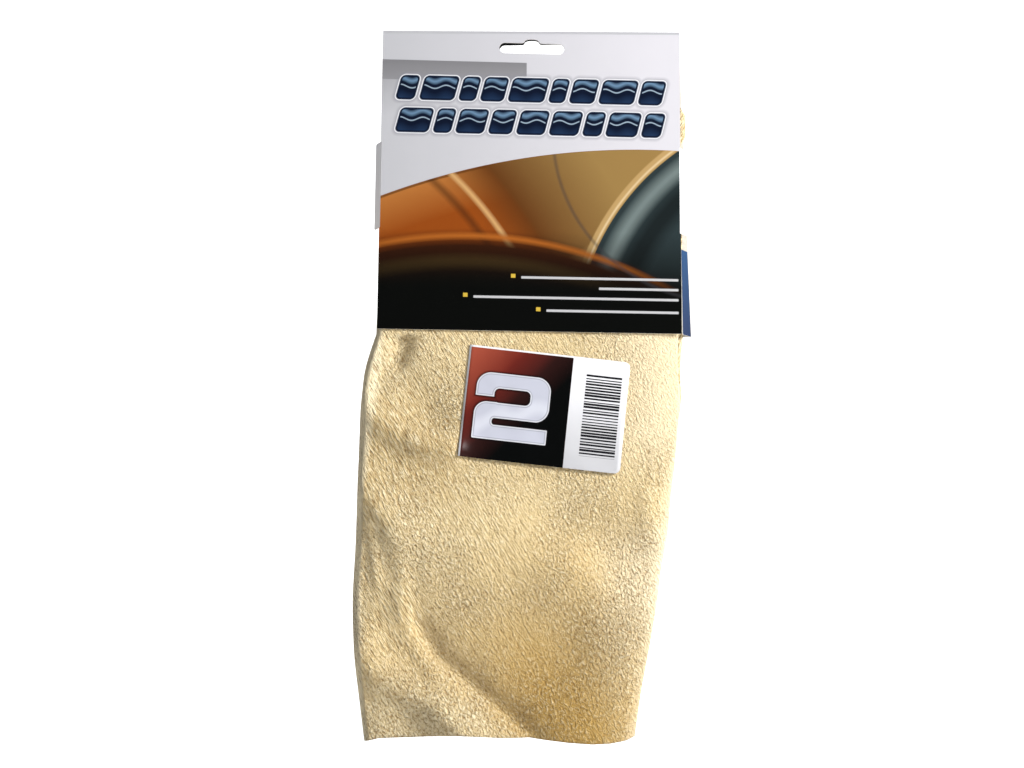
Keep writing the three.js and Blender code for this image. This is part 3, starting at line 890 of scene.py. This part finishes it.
def add_tab(name, node, body, matrix, side, inward, fold, crease, drops, depths, materials):
    """A side tab: a wall with a small bevel at the free corners, drawn out to its crease at the panel's edge.

    The first material is its printed face's, and the second one its inner face's and its cut edges'.
    """
    room = (BOARD + SEAM - BOARD * math.cos(fold)) / math.sin(fold)
    top, bottom = FOLD_RADIUS - drops[0], FOLD_RADIUS - drops[1]
    outline = [(0.0, top), (depths[0] - TAB_BEVEL, top), (depths[0], top - TAB_BEVEL)]
    outline += [(depths[1], bottom + TAB_BEVEL), (depths[1] - TAB_BEVEL, bottom), (0.0, bottom)]
    outer = np.array([(u, 0.0, z) for u, z in outline])
    inner = np.array([(max(u, room), BOARD, z) for u, z in outline])
    flat = np.concatenate([outer, inner]) * (side, inward, 1)
    turn = matrix @ Matrix.Translation((side * crease, 0, 0)) @ Matrix.Rotation(side * inward * fold, 4, "Z")
    points = flat @ np.array(turn.to_3x3()).T + np.array(turn.translation)
    count = len(outline)
    index = np.arange(count)
    following = np.roll(index, -1)
    sides = np.stack([index, following, following + count, index + count], axis=-1)
    faces = [index[::-1].tolist(), *sides.tolist(), (index + count).tolist()]
    if side * inward < 0:
        faces = [face[::-1] for face in faces]
    tab = add_mesh(name, points, faces, materials[0], smooth=False)
    tab.data.materials.append(materials[1])
    tab.data.polygons.foreach_set("material_index", [0] + [1] * (len(faces) - 1))
    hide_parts(node)
    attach(tab, body)


def add_card():
    front, back = panel_matrix(-1), panel_matrix(1)
    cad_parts["card_front_panel"].data.materials[0] = front_print_material("board_front_print")
    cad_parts["card_back_panel"].data.materials[0] = back_print_material()
    add_top_fold()
    bare = bare_board_material()
    drops = (UPPER_TAB_DROP, UPPER_TAB_DROP + UPPER_TAB_HEIGHT)
    depths = (UPPER_TAB_DEPTH, UPPER_TAB_DEPTH)
    crease = HALF_CARD - TAB_INSET
    pale = tab_material("board_left_tab_print", front, (219, 219, 222), (232, 227, 226), 60, 104)
    add_tab("tab_upper_left", "upper_left_tab", "left_tab", front, -1, 1,
            LEFT_TAB_FOLD, crease, drops, depths, (pale, bare))
    white = tab_material("board_right_tab_print", front, (240, 239, 243), (232, 230, 230), 60, 104)
    add_tab("tab_upper_right", "upper_right_tab", "right_tab", front, 1, 1,
            RIGHT_TAB_FOLD, crease, drops, depths, (white, bare))
    bottom = FOLD_RADIUS - BACK_HEIGHT
    top = FOLD_RADIUS - LOWER_TAB_DROP
    reach = 2 * FOLD_RADIUS - BOARD - LOWER_TAB_CLEARANCE
    depths = [(reach - z * math.tan(LEAN)) / math.sin(LOWER_TAB_FOLD) for z in (top, bottom)]
    blue = tab_material("board_lower_tab_print", back, (46, 70, 102), (43, 53, 78), 112, 156, 0.0)
    add_tab("tab_lower_right", "lower_right_tab", "lower_tab", back, 1, -1,
            LOWER_TAB_FOLD, HALF_CARD, (LOWER_TAB_DROP, BACK_HEIGHT), depths, (blue, bare))


# The label
# Boxes, each with its middle, half its width, half its height and its corner radius
LABEL_BLOCK = (-13.6, -0.7, 25.2, 27.4, 0.4)
LABEL_BARS = (27.6, -0.7, 8.8, 20.2, 0.1)
BAR_PITCH = 1.42
# The numeral 2: its bowl, less the gap under its hook, is joined to the lower stroke and the foot, then the
# hollow and the lower gap are cut out
NUMERAL_MIDDLE = (-16, -1.3)
NUMERAL_JOINED = [(0, 5.3, 18.2, 11.1, 7), (-7.1, -7.2, 11.1, 9.2, 6), (0, -12.7, 18.2, 3.7, 0.5)]
NUMERAL_CUT = [(-19, -0.6, 12, 5.3, 0.3), (-0.3, 5.4, 8.9, 3.6, 2.6), (10.8, -7.4, 20, 1.7, 1.4)]


def numeral_distance(x, y):
    """How far outside the numeral a point is: beyond the joined boxes, or inside a cut one."""
    x, y = x - NUMERAL_MIDDLE[0], y - NUMERAL_MIDDLE[1]
    bowl, stroke, foot = [box_at(x, y, box) for box in NUMERAL_JOINED]
    hook_gap, hollow, lower_gap = [box_at(x, y, box) for box in NUMERAL_CUT]
    return bowl.most(-hook_gap).least(stroke).least(foot).most(-hollow).most(-lower_gap)


def label_material():
    """The label's print: a red to black block with a numeral, a white border, and generic bars beside it."""
    paint = Paint("label_print", 0.28, (222, 222, 225))
    paint.shader.inputs["Specular IOR Level"].default_value = 0.05
    x, y, _ = paint.split(paint.uv("surface"))
    paint.over((182, 182, 185), y.ramp(18, -22))
    block = box_at(x, y, LABEL_BLOCK).below(0, 0.2)
    paint.over((152, 72, 54), block)
    away = (x + 39.1) * 1.11 + (-y + 26.3) * 0.875
    paint.over((100, 34, 27), block * away.ramp(2, 30))
    paint.over((46, 22, 20), block * away.ramp(26, 48))
    paint.over((4, 5, 5), block * away.ramp(42, 64))
    numeral = numeral_distance(x, y)
    paint.over((9, 6, 8), block * numeral.ramp(1.3, 0.2) * 0.8)
    paint.over((204, 205, 210), numeral.below(0, 0.25))
    paint.over((138, 141, 156), (numeral + 0.8).size().ramp(0.5, 0.15) * numeral.below(0, 0.25) * 0.8)
    face = numeral.below(-1.1, 0.3)
    paint.over((178, 180, 192), face)
    sheen = (y - (x * 0.3) + (x * 0.35).math("SINE") * 1.5).size().ramp(5, 1)
    paint.over((202, 204, 212), face * sheen * 0.6)
    code = paint.tree.nodes.new("ShaderNodeTexWhiteNoise")
    code.noise_dimensions = "1D"
    line = y / BAR_PITCH
    paint.tree.links.new(line.math("FLOOR").socket, code.inputs["W"])
    breadth = Field(paint.tree, code.outputs["Value"]) * 0.5 + 0.35
    bars = box_at(x, y, LABEL_BARS).below(0, 0.1)
    paint.over((26, 25, 28), bars * (breadth - line.math("FRACT")).above(0, 0.06))
    return paint.done()


def label_places(x, y):
    """Points of the label's plane laid on the leather's front face: x and y turned by the label's angle."""
    across = LABEL_MIDDLE[0] + x * math.cos(LABEL_TURN) + y * math.sin(LABEL_TURN)
    drop = LABEL_MIDDLE[1] + x * math.sin(LABEL_TURN) - y * math.cos(LABEL_TURN)
    return across, drop, hide_front(drop) - relief(across, drop) - waves(across, drop)


def add_label():
    """A thin sticker whose right corners are round: a grid squeezed into its outline, with both faces."""
    columns = 40
    straight = LABEL_HEIGHT / 2 - LABEL_ROUND
    corner = LABEL_ROUND * np.sin(np.linspace(0, math.pi / 2, 10))
    side = np.linspace(straight, -straight, 24)[1:-1]
    y = np.concatenate([straight + corner[::-1], side, -straight - corner])
    y, u = np.meshgrid(y, np.linspace(1, -1, columns), indexing="ij")
    over = np.maximum(np.abs(y) - straight, 0)
    cut = LABEL_ROUND - np.sqrt(np.maximum(LABEL_ROUND ** 2 - over ** 2, 0))
    x = u * LABEL_WIDTH / 2 - cut * (u + 1) / 2
    across, drop, front = label_places(x, y)
    lift = LABEL_GAP + LABEL_LIFT * smoothstep(-y, LABEL_HEIGHT / 4, LABEL_HEIGHT / 2)
    middle = np.stack([across, front - lift, FOLD_TOP - drop], axis=-1)
    points, faces = sheet_mesh(middle, LABEL_THICKNESS)
    uv = np.tile(np.stack([x, y], axis=-1).reshape(-1, 2), (2, 1))
    label = add_mesh("label_sticker", points, faces, label_material(), uv=uv)
    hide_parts("size_label")
    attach(label, "leather")


# The studio
def add_studio():
    """A pale floor that bends up into a pale wall behind, one soft lamp, and even light all round."""
    floor = FOLD_TOP - HIDE_END - FLOOR_BELOW
    angle = np.linspace(0, math.pi / 2, 16)
    bend = np.column_stack([np.sin(angle) - 1, 1 - np.cos(angle)]) * WALL_BEND + (WALL_PLACE, floor)
    profile = np.concatenate([[(FLOOR_FRONT, floor)], bend, [(WALL_PLACE, floor + WALL_HEIGHT)]])
    points = [(side * FLOOR_HALF_WIDTH, y, z) for y, z in profile for side in (-1, 1)]
    faces = [(2 * i, 2 * i + 1, 2 * i + 3, 2 * i + 2) for i in range(len(profile) - 1)]
    paint = Paint("studio_paper", 0.9, STUDIO_PAPER)
    paint.shader.inputs["Base Color"].default_value = (*linear(STUDIO_PAPER), 1)
    tree = paint.tree
    ray = tree.nodes.new("ShaderNodeLightPath")
    seen = Field(tree, ray.outputs["Is Camera Ray"])
    paint.shader.inputs["Emission Color"].default_value = (1, 1, 1, 1)
    mirrored = Field(tree, ray.outputs["Is Glossy Ray"]).most(Field(tree, ray.outputs["Is Transmission Ray"]))
    glow = seen.most(mirrored) * PAPER_GLOW
    tree.links.new(glow.socket, paint.shader.inputs["Emission Strength"])
    backdrop = add_mesh("backdrop", points, faces, paint.material)
    add_lamp("key", KEY_PLACE, KEY_TARGET, KEY_SIZE, KEY_POWER)
    world = bpy.data.worlds.new("studio")
    bpy.context.scene.world = world
    world.use_nodes = True
    tree = world.node_tree
    ray = tree.nodes.new("ShaderNodeLightPath")
    background = tree.nodes["Background"]
    background.inputs["Color"].default_value = (1, 1, 1, 1)
    strength = Field(tree, ray.outputs["Is Camera Ray"]) * (1 - WORLD_LIGHT) + WORLD_LIGHT
    tree.links.new(strength.socket, background.inputs["Strength"])


def add_lamp(name, place, target, size, power):
    """A square soft lamp that faces its target."""
    light = bpy.data.lights.new(name, "AREA")
    light.size = size * MM
    light.energy = power
    lamp = bpy.data.objects.new(name, light)
    lamp.location = Vector(place) * MM
    lamp.rotation_euler = (Vector(target) - Vector(place)).to_track_quat("-Z", "Y").to_euler()
    bpy.context.scene.collection.objects.link(lamp)


add_camera()
add_card()
add_chamois()
add_label()
add_studio()
bpy.context.scene.view_settings.view_transform = "Standard"
